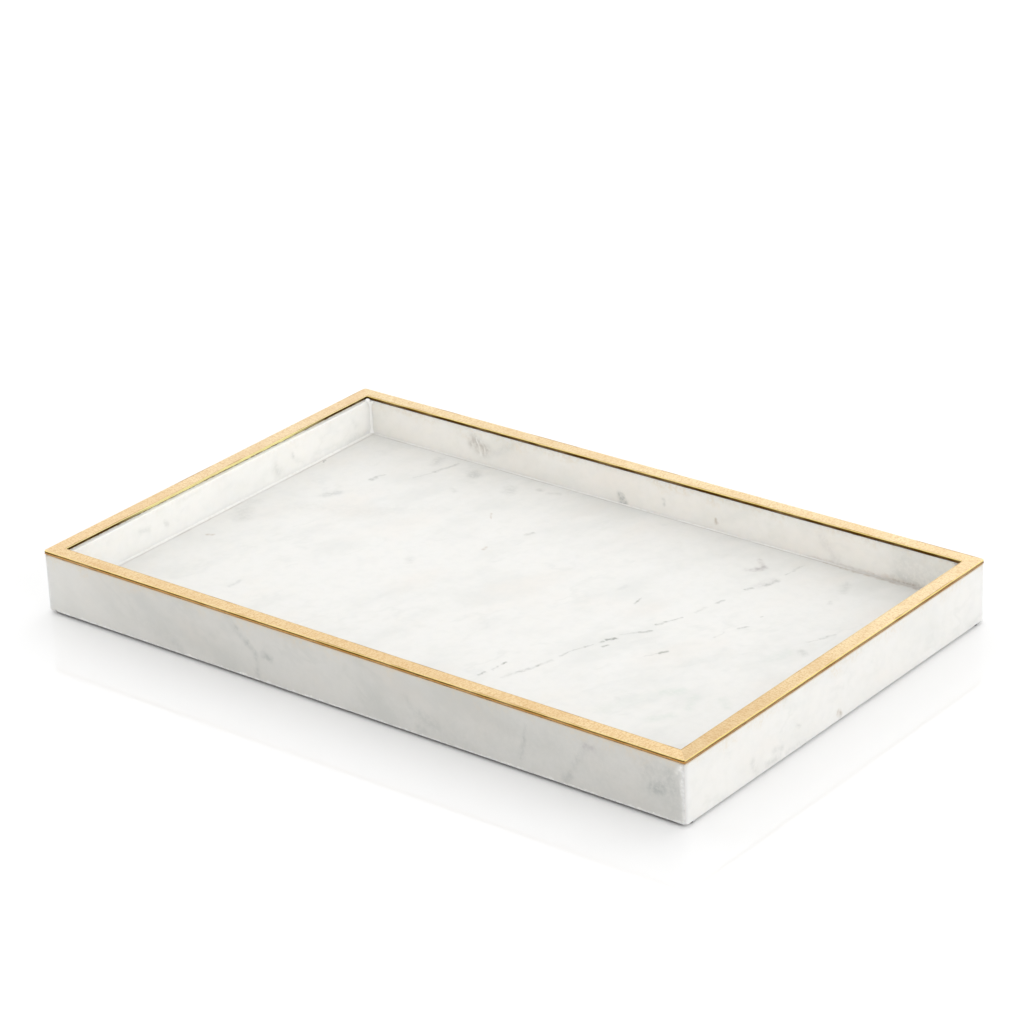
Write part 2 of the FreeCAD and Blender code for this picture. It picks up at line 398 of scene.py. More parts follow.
def stroke_group():
    """A soft stroke from one point to another: 1 on its line, falling to 0 at its width."""
    tree = bpy.data.node_groups.new("stroke", "ShaderNodeTree")
    for name in ("Place", "From", "To"):
        tree.interface.new_socket(name, in_out="INPUT", socket_type="NodeSocketVector")
    tree.interface.new_socket("Width", in_out="INPUT", socket_type="NodeSocketFloat")
    tree.interface.new_socket("Mask", in_out="OUTPUT", socket_type="NodeSocketFloat")
    nodes = Nodes(tree)
    given = nodes.add("NodeGroupInput").outputs
    reach = nodes.vector("SUBTRACT", given["Place"], given["From"])
    line = nodes.vector("SUBTRACT", given["To"], given["From"])
    along = nodes.math(
        "DIVIDE",
        nodes.vector("DOT_PRODUCT", reach, line),
        nodes.vector("DOT_PRODUCT", line, line),
        clamp=True,
    )
    # From the place itself, and not from reach, so that a shader has room for more strokes.
    nearest = nodes.vector("ADD", given["From"], nodes.vector("SCALE", line, scale=along))
    away = nodes.vector("DISTANCE", given["Place"], nearest)
    mask = nodes.ramp(away, given["Width"], 0.0)
    result = nodes.add("NodeGroupOutput")
    nodes.put(result.inputs["Mask"], mask)
    return tree


STROKE = stroke_group()


def stroke_masks(nodes, place, strokes):
    """Sum of the masks of strokes, each ((x, y, z) from, to, width in mm, strength)."""
    total = 0.0
    for start, end, width, strength in strokes:
        group = nodes.add("ShaderNodeGroup", node_tree=STROKE)
        nodes.put(group.inputs["Place"], place)
        nodes.put(group.inputs["From"], start)
        nodes.put(group.inputs["To"], end)
        nodes.put(group.inputs["Width"], width)
        total = nodes.math("MULTIPLY_ADD", group.outputs["Mask"], strength, total)
    return total


def tinted(colour, tint):
    return (*(c * t for c, t in zip(colour, tint)), 1)


def seam_grime_and_shade(nodes, place, domain):
    """A thin dark line on the slab where the glue beads end, partly dirt and partly painted shade;
    it wavers and fades in places.
    """
    sway = nodes.math("MULTIPLY_ADD", nodes.noise(domain, 0.25), 1.2, -0.6)
    folded = nodes.vector("ABSOLUTE", place)
    split = nodes.add("ShaderNodeSeparateXYZ", {"Vector": folded})
    line = 0.0
    for axis, side in (("X", "right"), ("Y", "front")):
        edge = (getattr(SLAB_HIGH, axis.lower()) - BEADS[side]["width"] + GLUE_GAP) / MM
        inside = nodes.math("SUBTRACT", nodes.math("ADD", split.outputs[axis], sway), edge)
        band = nodes.ramp(nodes.math("ABSOLUTE", inside), 0.7, 0.1)
        line = nodes.math("MAXIMUM", line, band)
    fade = nodes.ramp(nodes.noise(domain, 0.06), 0.35, 0.65, 0.15, 0.50)
    return nodes.times(line, fade)


# How yellow each wall turns under the rim: in specks stained by the glue, and in a line along its top edge.
RIM_SPECKS_AND_LINE = {"front": (0.40, 0.75), "right": (0.40, 0.75), "back": (0.40, 0.0), "left": (0.10, 0.0)}


def rim_specks_and_line(nodes, place, domain, speck_amount, edge_amount):
    """Yellow under the rim: specks down a wall stained by the glue, and a line along its top edge."""
    height = nodes.part(place, "Z")
    reach = nodes.math("MULTIPLY_ADD", nodes.noise(domain, 0.07), 18.0, -4.0)
    down = nodes.math("SUBTRACT", WALL_TOP / MM, height)
    spread = nodes.ramp(nodes.math("SUBTRACT", down, reach), 2.0, -8.0, 0.0, speck_amount)
    specks = nodes.ramp(nodes.noise(domain, 0.55), 0.42, 0.62, 0.15, 1.0)
    edge = nodes.ramp(down, 0.9, 0.3, 0.0, edge_amount)
    return nodes.math("MAXIMUM", nodes.times(spread, specks), edge)


def marble(piece, grain, seed, marks, cloudiness):
    """White marble: soft clouds, faint wisps, the mottle of its crystals and the marks placed on it.

    grain is the direction that its clouds are drawn out in, and cloudiness is how strong they are. marks is
    {colour name: [strokes]}, with places in millimetres in the tray's frame.
    """
    material, nodes, place = new_material(f"marble_{piece}")
    stone_colour = (*STONE[piece], 1)
    cloud_colour = tinted(STONE[piece], CLOUD_TINT)
    domain = nodes.vector("ADD", place, (seed * 131.0, seed * 57.0, seed * 23.0))
    drawn_out = nodes.stretched(domain, grain, 0.55)

    # Clouds, warm patches, wisps where one noise crosses its middle, and the mottle of the crystals.
    cloud = nodes.ramp(nodes.noise(drawn_out, 0.045, 5.0, 0.58), 0.42, 0.72, 0.0, cloudiness)
    warm = nodes.ramp(nodes.noise(drawn_out, 0.03, 2.0, 0.5), 0.50, 0.75, 0.0, WARMTH)
    crossing = nodes.math("SUBTRACT", nodes.noise(drawn_out, 0.021, 5.0, 0.62), 0.5)
    wisp = nodes.ramp(nodes.math("ABSOLUTE", crossing), 0.030, 0.0)
    fading = nodes.ramp(nodes.noise(domain, 0.05, 2.0, 0.5), 0.45, 0.65, 0.0, WISPS)
    mottle = nodes.ramp(nodes.noise(domain, 0.20), 0.40, 0.70, 0.0, MOTTLE)
    colour = nodes.mix(cloud, stone_colour, cloud_colour)
    colour = nodes.mix(warm, colour, tinted(STONE[piece], WARM_TINT))
    colour = nodes.mix(nodes.times(wisp, fading), colour, cloud_colour)
    colour = nodes.mix(mottle, colour, cloud_colour)
    if piece == "front":
        pale = nodes.ramp(nodes.part(place, "X"), TRAY_LOW.x / MM, PALE_FROM, PALE_AMOUNT, 0.0)
        colour = nodes.mix(pale, colour, MARKS["white"])

    # Marks placed one by one, with their edges warped and their strength broken up by noise.
    sway = nodes.vector("SUBTRACT", nodes.noise(domain, 0.20, output="Color"), (0.5, 0.5, 0.5))
    warped = nodes.vector("ADD", place, nodes.vector("SCALE", sway, scale=MARK_SWAY))
    broken = nodes.ramp(nodes.noise(domain, 0.45), 0.38, 0.60, MARK_LEAST, 1.0)
    for kind, strokes in marks.items():
        mask = nodes.math("MULTIPLY", stroke_masks(nodes, warped, strokes), broken, clamp=True)
        colour = nodes.mix(mask, colour, MARKS[kind])
    # On the slab, a thin dark line at the foot of the glue beads, partly dirt and partly painted shade.
    if piece == "slab":
        colour = nodes.mix(seam_grime_and_shade(nodes, place, domain), colour, GRIME_AND_SHADE)
    else:
        colour = nodes.mix(rim_specks_and_line(nodes, place, domain, *RIM_SPECKS_AND_LINE[piece]), colour, MARKS["stain"])

    # The sawn underside was never polished; its colour is dirt, with painted shade under the front wall and
    # painted light under the end walls.
    normal = nodes.add("ShaderNodeNewGeometry").outputs["Normal"]
    colour = nodes.mix(nodes.ramp(nodes.part(normal, "Z"), -0.6, -0.9), colour, SAWN_TONE_AND_PAINTED_LIGHT[piece])

    gloss = nodes.ramp(nodes.noise(domain, 0.05), 0.3, 0.7, 0.29, 0.37)
    polish = nodes.bump(nodes.noise(domain, 0.03, 2.0, 0.5), 0.15 * MM, 0.6)
    ripple = nodes.bump(nodes.noise(domain, 0.25, 1.0, 0.5), 0.010 * MM, 0.6, polish)
    finish_material(
        nodes,
        Base_Color=colour,
        Roughness=gloss,
        Normal=ripple,
        IOR=1.5,
        Subsurface_Weight=0.5,
        Subsurface_Radius=(1.0, 0.92, 0.80),
        Subsurface_Scale=4.0 * MM,
    )
    return material


def on_floor(x, y):
    return (x, y, SLAB_HIGH.z / MM)


def face_of(side, depth=0.0, mirrored=False):
    """A function from millimetres along a side and up from the feet to that place on one of its faces.

    depth is how far the face lies behind the side's outer face. The back's and the left's own x runs against
    the tray's axis, and mirrored turns it round to run with it.
    """
    sign = -1 if mirrored else 1

    def place(along, height):
        point = side_matrix(side) @ Vector((sign * along * MM, depth, height * MM))
        return tuple(point / MM)

    return place


def dashes(place, rows):
    """Strokes from rows of (from, to, width, strength), with from and to as places on one face.

    place(x, y) turns such a place into one in the tray's frame, in millimetres.
    """
    return [(place(*start), place(*end), width, strength) for start, end, width, strength in rows]


def slab_marks():
    """A broken vein with flecks beside it, blotches near the back wall and green clouds at the right."""
    vein = dashes(on_floor, [
        ((83.5, 24.5), (80, 17), 1.1, 0.50), ((80, 17), (78.3, 12), 1.3, 0.75),
        ((80.5, 5.5), (76.5, 1.5), 1.3, 0.65), ((76, 1), (70, -6), 1.0, 0.32),
        ((70.5, -10), (68.5, -13.5), 1.4, 0.95), ((68, -15.5), (67.6, -17), 1.2, 0.8),
        ((72, -18), (71, -20), 1.4, 0.8), ((66, -21), (64, -25), 1.0, 0.35),
        ((64, -25), (61, -34), 0.9, 0.35), ((61, -34), (60, -39), 1.1, 0.5),
        ((60, -45), (57.5, -53), 1.8, 0.24), ((57.5, -53), (54.5, -62), 1.9, 0.42),
        ((54.5, -62), (52, -70), 1.8, 0.24), ((99, 104), (98, 90), 1.0, 0.3),
        ((98.5, 83), (96.5, 75), 1.9, 0.50), ((93, 69), (91.5, 66.5), 1.7, 0.6),
        ((89.5, 51), (88.3, 47), 1.4, 0.6), ((86.5, 40), (86, 33), 1.6, 0.25),
    ])
    flecks = dashes(on_floor, [
        ((43.2, -58.5), (43, -60.5), 1.5, 0.95), ((43, -63), (43, -67), 1.1, 0.55),
        ((41.6, -71), (41.2, -75), 1.3, 0.85), ((55.5, 31), (56.5, 25), 1.4, 0.65),
        ((115, 34), (112.5, 30.5), 1.4, 0.5), ((114.5, 47), (114, 46), 1.0, 0.5),
        ((109, 23), (108.5, 16), 1.2, 0.25), ((98.5, -8), (97, -10.5), 1.6, 0.9),
        ((97, -10.5), (93, -17), 1.0, 0.25), ((-33, 61), (-34.5, 57), 2.0, 0.4),
        ((-140.5, 75), (-142, 70), 1.4, 0.35), ((-141.5, 69), (-142, 66), 2.2, 0.5),
        ((153, 50), (150, 42), 1.3, 0.35), ((150, 42), (147, 36), 1.0, 0.25),
        ((-178.2, 71), (-178, 70.3), 1.2, 1.0),
    ])
    grey = dashes(on_floor, [
        ((-149.5, 38), (-146, 44.5), 4.5, 0.52), ((-103, 102), (-101, 99), 6.0, 0.50),
        ((-76, 97), (-73, 93), 6.0, 0.34), ((-117, 106), (-121, 92), 1.8, 0.50),
        ((-121, 92), (-125, 80), 1.3, 0.35), ((-129, 106), (-127, 100), 5.0, 0.32),
        ((-62, 103), (-61, 104), 2.8, 0.40), ((-56, 103), (-50, 105), 2.4, 0.25),
        ((-172, 2), (-167, -5), 8.0, 0.26), ((-176, 10), (-174, 14), 6.0, 0.20),
        ((-152, 20), (-118, 36), 10.0, 0.11), ((-112, 42), (-88, 58), 12.0, 0.10),
        ((-118, -61), (-118, -68), 2.2, 0.35), ((132, 77), (133, 75.5), 2.5, 0.35),
        ((128, 98), (131, 90), 4.0, 0.30), ((150, 27), (153, 25), 3.4, 0.40),
        ((107, -58), (108, -59), 2.5, 0.30), ((-65, 4), (-63, 1), 4.0, 0.25),
        ((42, 38), (41, 34), 2.5, 0.20), ((-100, 80), (-97, 78), 3.0, 0.25),
    ])
    green = dashes(on_floor, [
        ((122, -42), (127, -37), 6.0, 0.42), ((136, -38), (140, -48), 5.0, 0.35),
        ((132, -66), (138, -58), 5.0, 0.35), ((148, -32), (154, -38), 4.0, 0.30),
        ((142, 12), (146, 22), 6.0, 0.25), ((108, -70), (118, -50), 8.0, 0.20),
    ])
    purple = dashes(on_floor, [
        ((84.5, 91), (83, 88), 4.2, 0.70), ((78, 97), (84, 92), 2.6, 0.5),
        ((84, 88), (79, 84), 2.6, 0.4), ((96, 82), (94, 72), 5.0, 0.3),
    ])
    brown = dashes(on_floor, [
        ((-167, -30), (-165.5, -28.5), 1.8, 0.65), ((-42, 34), (-41.5, 32), 1.6, 0.5),
        ((-65, 68), (-61, 63), 0.9, 0.45), ((105, 111.6), (172, 111.6), 1.6, 0.45),
    ])
    return {"grey": grey, "green": green, "purple": purple, "brown": brown, "dark": vein + flecks}


def front_marks():
    """A branching grey vein left of the middle, spots towards the right, a white chip at the top of the near
    corner, and white painted highlights up both upright corners and along the bottom edge.
    """
    face = face_of("front")
    return {
        "grey": dashes(face, [
            ((-73, 31), (-67, 25), 3.0, 0.30), ((-67, 25), (-60, 19), 3.0, 0.40),
            ((-60, 19), (-55, 14), 3.0, 0.40), ((-55, 14), (-54, 6), 3.0, 0.20),
            ((-50, 15.5), (-46, 14.5), 3.2, 0.80), ((-55, 6), (-54, 3), 3.0, 0.45),
            ((-107, 7), (-104, 5), 4.0, 0.35), ((-130, 14), (-112, 8), 7.0, 0.15),
            ((104, 24), (103, 17), 1.8, 0.20), ((103, 17), (101, 8), 2.6, 0.40),
            ((137, 23), (133, 16), 3.0, 0.22), ((133, 16), (128, 8), 3.5, 0.22),
            ((127, 6), (125, 3), 4.0, 0.40), ((173, 14), (177, 15), 4.5, 0.75),
            ((182, 25), (184, 18), 6.0, 0.40), ((172, 22), (185, 10), 10.0, 0.22),
            ((43, 12), (52, 9), 5.0, 0.28), ((90, 16), (190, 16), 45.0, 0.13), ((42, 5), (46, 3), 3.5, 0.32),
            ((35, 19), (38, 15), 3.0, 0.22), ((10, 12), (70, 6), 12.0, 0.12),
        ]),
        "purple": dashes(face, [((136.5, 23.5), (141, 24), 3.2, 0.85)]),
        # White: painted highlights up both upright corners and along the bottom edge, and a chip at the near
        # corner's top.
        "white": dashes(face, [
            ((189.6, 29), (189.6, 2), 2.6, 0.85), ((188.5, 29), (186, 26), 1.8, 0.70),
            ((-189.9, 28), (-189.9, 5), 2.4, 0.80), ((-187, 1.5), (187, 1.5), 1.1, 0.85),
        ]),
    }


def back_marks():
    """A streaked blotch near the left end, a spot in the middle and a grey patch at the right end."""
    face = face_of("back", LONG_THICK, mirrored=True)
    return {
        "grey": dashes(face, [
            ((-111, 24), (-105, 21), 7.5, 0.42), ((-98, 20), (-86, 27), 3.5, 0.20),
            ((-17.5, 16), (-15.5, 13.5), 3.6, 0.85), ((9, 21), (9.5, 19), 2.0, 0.40),
            ((148, 14), (166, 13), 7.0, 0.40), ((150, 24), (172, 20), 12.0, 0.20),
        ]),
        "brown": dashes(face, [
            ((-111, 23), (-105, 21), 6.0, 0.30), ((41, 18), (41.5, 16), 1.8, 0.55),
            ((95, 12.5), (172, 12.5), 1.4, 0.25), ((140, 12.5), (168, 12.5), 3.5, 0.30),
        ]),
        "white": dashes(face, [
            ((-109, 26), (-107, 17), 0.9, 0.9), ((-106, 25), (-104, 18), 0.8, 0.8),
            ((-112, 24), (-111, 19), 0.8, 0.6),
        ]),
        "purple": dashes(face, [((103, 25), (112, 15), 5.0, 0.20)]),
    }


def right_marks():
    """Faint spots, most of them near the front, and one rusty speck low down in the middle."""
    face = face_of("right")
    return {
        "grey": dashes(face, [
            ((-36.5, 13.5), (-34, 11.5), 1.6, 0.35), ((-71, 10), (-68, 3), 3.5, 0.25),
            ((-60, 4), (-50, 3), 3.0, 0.35), ((-54, 8), (-48, 7), 3.0, 0.25),
            ((-45, 3), (-30, 3), 2.0, 0.20), ((106, 3), (116, 4), 3.0, 0.20),
        ]),
        "brown": dashes(face, [((-3.5, 5), (-1.8, 3.4), 2.6, 0.50)]),
        "dark": dashes(face, [((-1.8, 3.5), (-1.6, 2.9), 1.2, 0.38)]),
    }


def left_marks():
    """Faint grey spots."""
    face = face_of("left", END_THICK, mirrored=True)
    return {
        "grey": dashes(face, [
            ((37, 20), (39, 17), 5.0, 0.30), ((-46, 22), (-45, 20), 2.6, 0.35),
            ((50, 23), (51, 21.5), 2.2, 0.35), ((-64, 23), (-58, 22), 3.0, 0.20),
            ((94, 14), (108, 13), 4.5, 0.20), ((99, 23), (100, 21), 3.5, 0.14),
        ]),
    }


# ---------- Other materials ----------


BRASS = (0.865, 0.655, 0.370, 1)
BRASS_DULL = (0.69, 0.433, 0.190, 1)
BRASS_WORN = (0.44, 0.24, 0.075, 1)
# Colours of the bars' sides, each partly real and partly painted light: burnish with a painted highlight,
# burnish painted pale where a side faces the light, copper with the floor's painted reflection, and tarnish
# with painted shade.
BURNISH_AND_HIGHLIGHT = (0.96, 0.79, 0.26, 1)
BURNISH_AND_LIGHT_PALE = (0.98, 0.90, 0.42, 1)
COPPERY_AND_REFLECTION = (0.52, 0.260, 0.060, 1)
TARNISH_AND_SHADE = (0.080, 0.034, 0.002, 1)
# How each bar's top is tinted at its front end and at its back end: a painted reflection, darker at the right
# bar's front end and paler and brighter towards the back.
PAINTED_REFLECTION = {
    "front": ((0.98, 1.00, 1.00, 1), (0.98, 1.00, 1.00, 1)),
    "right": ((0.86, 0.86, 0.85, 1), (0.98, 1.06, 1.18, 1)),
    "back": ((1.00, 1.09, 1.20, 1), (1.00, 1.09, 1.20, 1)),
    "left": ((1.02, 1.05, 1.10, 1), (1.02, 1.10, 1.25, 1)),
}
# The colours of each bar's sides, as bands: (from, to, colour, amount). Heights are shares of the bar's
# thickness, from its underside up. The bands are partly tarnish and burnish and partly painted light: a
# painted highlight under the top edge, painted shade below it, the floor's painted reflection near the
# underside, and the left bar's side, turned to the light, painted pale.
SIDE_BANDS = {
    "front": [(0.84, 0.98, BURNISH_AND_HIGHLIGHT, 0.9), (0.00, 0.48, COPPERY_AND_REFLECTION, 0.9), (0.46, 0.84, TARNISH_AND_SHADE, 0.97)],
    "right": [(0.66, 0.98, BURNISH_AND_HIGHLIGHT, 0.8), (0.00, 0.34, COPPERY_AND_REFLECTION, 0.9), (0.28, 0.64, TARNISH_AND_SHADE, 0.80)],
    "back": [(0.78, 0.98, BURNISH_AND_HIGHLIGHT, 0.9), (0.00, 0.77, TARNISH_AND_SHADE, 1.00)],
    "left": [(0.20, 0.98, BURNISH_AND_LIGHT_PALE, 0.95), (0.00, 0.20, TARNISH_AND_SHADE, 0.85)],
}


def brass(side):
    """Satin brass with fine scratches across the bar, a dull inner edge, a painted reflection on the top, and
    sides banded with tarnish and with painted highlight, shade and reflection.
    """
    material, nodes, place = new_material(f"satin_brass_{side}")
    axes = side_matrix(side).inverted()
    inwards = tuple(axes[1][:3])
    along = tuple(axes[0][:3])
    from_face = nodes.math("ADD", nodes.vector("DOT_PRODUCT", place, inwards), SIDES[side]["depth"] / MM)

    # The sanded top: patches, scratches and a fine speckle.
    scratches = nodes.noise(nodes.stretched(place, inwards, 0.22), 1.1, 2.0, 0.6)
    speckle = nodes.noise(place, 1.2, 3.0, 0.7)
    patches = nodes.ramp(nodes.noise(nodes.stretched(place, along, 0.3), 0.12), 0.45, 0.75)
    stretches = nodes.ramp(nodes.noise(place, 0.022, 2.0, 0.5), 0.40, 0.65)
    tone = nodes.mix(nodes.times(patches, 0.45), BRASS, BRASS_DULL)
    tone = nodes.mix(nodes.times(stretches, 0.25), tone, BRASS_DULL)
    tone = nodes.mix(nodes.ramp(scratches, 0.48, 0.68, 0.0, 0.60), tone, BRASS_DULL)
    tone = nodes.mix(nodes.ramp(speckle, 0.48, 0.62, 0.0, 0.85), tone, BRASS_DULL)
    split = nodes.add("ShaderNodeSeparateXYZ", {"Vector": place})
    # Painted reflection: the top's colour changes from front to back.
    to_back = nodes.ramp(split.outputs["Y"], -100.0, 50.0)
    tone = nodes.vector("MULTIPLY", tone, nodes.mix(to_back, *PAINTED_REFLECTION[side]))

    # The edges of the top, where the polish wore thin: the inner one a little all along, and both of them
    # a lot here and there.
    wear = nodes.noise(nodes.stretched(place, along, 0.5), 0.07, 2.0, 0.5)
    inner = nodes.ramp(from_face, BAR_WIDTH / MM - 1.0, BAR_WIDTH / MM - 0.3)
    outer = nodes.ramp(from_face, 1.3, 0.4)
    worn = nodes.times(inner, nodes.ramp(wear, 0.50, 0.62, 0.35, 1.0))
    tone = nodes.mix(worn, tone, BRASS_WORN)
    tone = nodes.mix(nodes.times(outer, nodes.ramp(wear, 0.46, 0.36, 0.0, 0.8)), tone, BRASS_WORN)

    # The sides: bands of burnish and tarnish, and of painted highlight, shade and floor reflection, whose
    # edges waver more towards the underside.
    height = nodes.ramp(split.outputs["Z"], BAR_BOTTOM / MM, BAR_TOP / MM, smooth=False)
    drawn_out = nodes.stretched(place, along, 0.5)
    waver = nodes.math("MULTIPLY_ADD", nodes.noise(drawn_out, 0.3, 3.0, 0.65), 0.8, -0.4)
    waver = nodes.times(waver, nodes.math("SUBTRACT", 1.0, height))
    wavering = nodes.math("ADD", height, waver)
    fading = nodes.ramp(nodes.noise(drawn_out, 0.09), 0.3, 0.6, 0.70, 1.0)
    soft = 0.05
    bands = SIDE_BANDS[side]
    if side == "left":
        # Black towards both ends of the bar, and bright in its middle.
        towards_end = nodes.ramp(nodes.math("ABSOLUTE", split.outputs["Y"]), 45.0, 85.0, 0.0, 1.2)
        bands = bands + [(0.00, 0.78, TARNISH_AND_SHADE, towards_end)]
    for low, high, colour, amount in bands:
        above = nodes.ramp(wavering, low - soft, low + soft) if low else 1.0
        band = nodes.times(nodes.ramp(wavering, high + soft, high - soft), above)
        band = nodes.times(band, nodes.times(fading, amount))
        # The top itself keeps its own colour.
        band = nodes.times(band, nodes.ramp(height, 0.995, 0.97))
        tone = nodes.mix(band, tone, colour)

    gloss = nodes.ramp(scratches, 0.3, 0.7, 0.29, 0.42)
    lines = nodes.bump(scratches, 0.02 * MM, 0.5)
    grain = nodes.bump(speckle, 0.03 * MM, 0.5, lines)
    finish_material(nodes, Base_Color=tone, Metallic=1.0, Roughness=gloss, Normal=grain)
    return material


def ground_solder():
    """The solder in the rim's mitres, ground flush and a little paler than the brass."""
    material, nodes, place = new_material("ground_solder")
    speckle = nodes.noise(place, 1.5, 3.0, 0.7)
    tone = nodes.mix(nodes.ramp(speckle, 0.4, 0.7, 0.0, 0.5), BRASS, BRASS_DULL)
    height = nodes.part(place, "Z")
    # Below the top, the same coppery colour as low on the bars' sides: partly copper, partly painted
    # reflection of the floor.
    tone = nodes.mix(nodes.ramp(height, BAR_TOP / MM - 0.2, BAR_TOP / MM - 0.5), tone, COPPERY_AND_REFLECTION)
    gloss = nodes.ramp(speckle, 0.3, 0.7, 0.29, 0.42)
    grain = nodes.bump(speckle, 0.02 * MM, 0.5)
    finish_material(nodes, Base_Color=tone, Metallic=1.0, Roughness=gloss, Normal=grain)
    return material


JOINT_STAIN = (0.50, 0.38, 0.33, 1)
# The glue round the floor's back right corner darkens towards it: partly gathered dirt, partly painted shade.
DIRTY_SHADED_CORNER = tuple(SLAB_HIGH / MM)


def stone_glue(name, colour, stain):
    """Cured glue: uneven in tone, satin, and stained in the joints that show on the outside of the tray."""
    material, nodes, place = new_material(name)
    tone = nodes.mix(nodes.ramp(nodes.noise(place, 0.5), 0.45, 0.75, 0.0, 0.6), colour, stain)
    from_middle = nodes.part(nodes.vector("ABSOLUTE", place), "X")
    outside = nodes.ramp(from_middle, TRAY_HIGH.x / MM - 3.0, TRAY_HIGH.x / MM - 1.5, 0.0, 0.3)
    tone = nodes.mix(outside, tone, JOINT_STAIN)
    # Painted shade, partly dirt: darker towards the back right corner.
    dirt_and_shade = nodes.ramp(nodes.vector("DISTANCE", place, DIRTY_SHADED_CORNER), 90.0, 20.0, 0.0, 0.7)
    tone = nodes.mix(dirt_and_shade, tone, GRIME_AND_SHADE)
    lumps = nodes.bump(nodes.noise(place, 1.2), 0.08 * MM, 0.7)
    gloss = nodes.ramp(nodes.noise(place, 0.8, 2.0, 0.5), 0.3, 0.7, 0.32, 0.50)
    finish_material(nodes, Base_Color=tone, Roughness=gloss, Normal=lumps)
    return material


# The rim's glue, partly painted light and shade: stained by the brass at the front and right, painted pale on
# the left where the light falls, and nearly black at the back as painted shadow in the gap under the bar.
RIM_GLUE_TONES_AND_SHADE = {"front": (0.36, 0.20, 0.085, 1), "left": (0.84, 0.79, 0.64, 1), "back": (0.06, 0.035, 0.012, 1)}


def rim_glue():
    material, nodes, place = new_material("rim_glue")
    split = nodes.add("ShaderNodeSeparateXYZ", {"Vector": place})
    across = nodes.vector("DOT_PRODUCT", place, (1.0, -TRAY.x / TRAY.y, 0.0))
    on_left = nodes.ramp(split.outputs["X"], TRAY_LOW.x / MM + 9.0, TRAY_LOW.x / MM + 8.0)
    tone = nodes.mix(on_left, RIM_GLUE_TONES_AND_SHADE["back"], RIM_GLUE_TONES_AND_SHADE["left"])
    tone = nodes.mix(nodes.ramp(across, -1.0, 1.0), tone, RIM_GLUE_TONES_AND_SHADE["front"])
    # Dark patches: painted shadow of a gap under the bar here and there.
    stain = nodes.ramp(nodes.noise(place, 0.35, 3.0, 0.65), 0.45, 0.65, 0.0, 0.75)
    tone = nodes.mix(stain, tone, RIM_GLUE_TONES_AND_SHADE["back"])
    gloss = nodes.ramp(nodes.noise(place, 0.8, 2.0, 0.5), 0.3, 0.7, 0.35, 0.60)
    lumps = nodes.bump(nodes.noise(place, 1.2), 0.06 * MM, 0.7)
    finish_material(nodes, Base_Color=tone, Roughness=gloss, Normal=lumps)
    return material


def black_rubber():
    material, nodes, place = new_material("black_rubber")
    grain = nodes.noise(place, 3.0)
    tone = nodes.mix(nodes.ramp(grain, 0.4, 0.7), (0.012, 0.012, 0.013, 1), (0.035, 0.034, 0.033, 1))
    skin_bump = nodes.bump(grain, 0.03 * MM, 0.6)
    gloss = nodes.ramp(grain, 0.3, 0.7, 0.55, 0.75)
    finish_material(nodes, Base_Color=tone, Roughness=gloss, Normal=skin_bump)
    return material


# ---------- Pieces ----------

ARRIS_STEPS = 3
# Chips off the top outer edge of a wall: (place along it, length, depth), all in millimetres.
CHIPS = {
    "front": [(189.0, 1.6, 1.3), (166.0, 1.2, 0.5), (-158.0, 1.5, 0.4), (-40.0, 1.0, 0.4)],
    "right": [(-119.5, 1.5, 1.0), (-88.0, 1.2, 0.7), (-30.0, 1.0, 0.4), (62.0, 1.5, 0.5)],
    "back": [(120.0, 1.2, 0.5)],
    "left": [(35.0, 1.2, 0.5)],
}
# The bottom outer edge is worn round where the front and left walls meet, given in the same way.
WORN_FOOT = {"front": [(-TRAY.x / 2 / MM, 4.4, 2.7)], "left": [(TRAY.y / 2 / MM, 4.4, 2.7)]}


def worn_off(x, places):
    """How deep chips or wear at those places reach at x, in millimetres."""
    return sum(deep * math.exp(-((x / MM - at) / long) ** 2) for at, long, deep in places)


def wall_section(side, seed):
    """Outline of a wall at a place along it, with its edges eased by an uneven amount."""
    thick = SIDES[side]["thick"]

    def section(x):
        foot = 0.20 + 0.06 * rough(x, seed, 9 * MM) + 0.06 * rough(x, seed + 1, 1.8 * MM)
        foot = (foot + worn_off(x, WORN_FOOT.get(side, []))) * MM
        outer_top = (0.26 + 0.12 * rough(x, seed + 2, 3 * MM) + worn_off(x, CHIPS[side])) * MM
        inner_top = (0.30 + 0.16 * rough(x, seed + 3, 5 * MM)) * MM
        low, high = WALL_BOTTOM, WALL_TOP
        outline = [(thick, low)]
        outline += arc((foot, low + foot), foot, 270, 180, ARRIS_STEPS)
        outline += arc((outer_top, high - outer_top), outer_top, 180, 90, ARRIS_STEPS)
        outline += arc((thick - inner_top, high - inner_top), inner_top, 90, 0, ARRIS_STEPS)
        return outline

    return section


def bar_section(seed):
    """Outline of a rim bar: eased top edges and a nearly sharp underside."""

    def section(x):
        outer = (0.34 + 0.06 * rough(x, seed, 7 * MM)) * MM
        inner = (0.30 + 0.06 * rough(x, seed + 1, 7 * MM)) * MM
        under = 0.10 * MM
        waver = 0.05 * MM * (1 + rough(x, seed + 2, 16 * MM))
        low, high = BAR_BOTTOM, BAR_TOP
        outline = arc((BAR_WIDTH - under, low + under), under, 0, -90, 1)
        outline += arc((waver + under, low + under), under, 270, 180, 1)
        outline += arc((waver + outer, high - outer), outer, 180, 90, ARRIS_STEPS)
        outline += arc((BAR_WIDTH - inner, high - inner), inner, 90, 0, ARRIS_STEPS)
        return outline

    return section


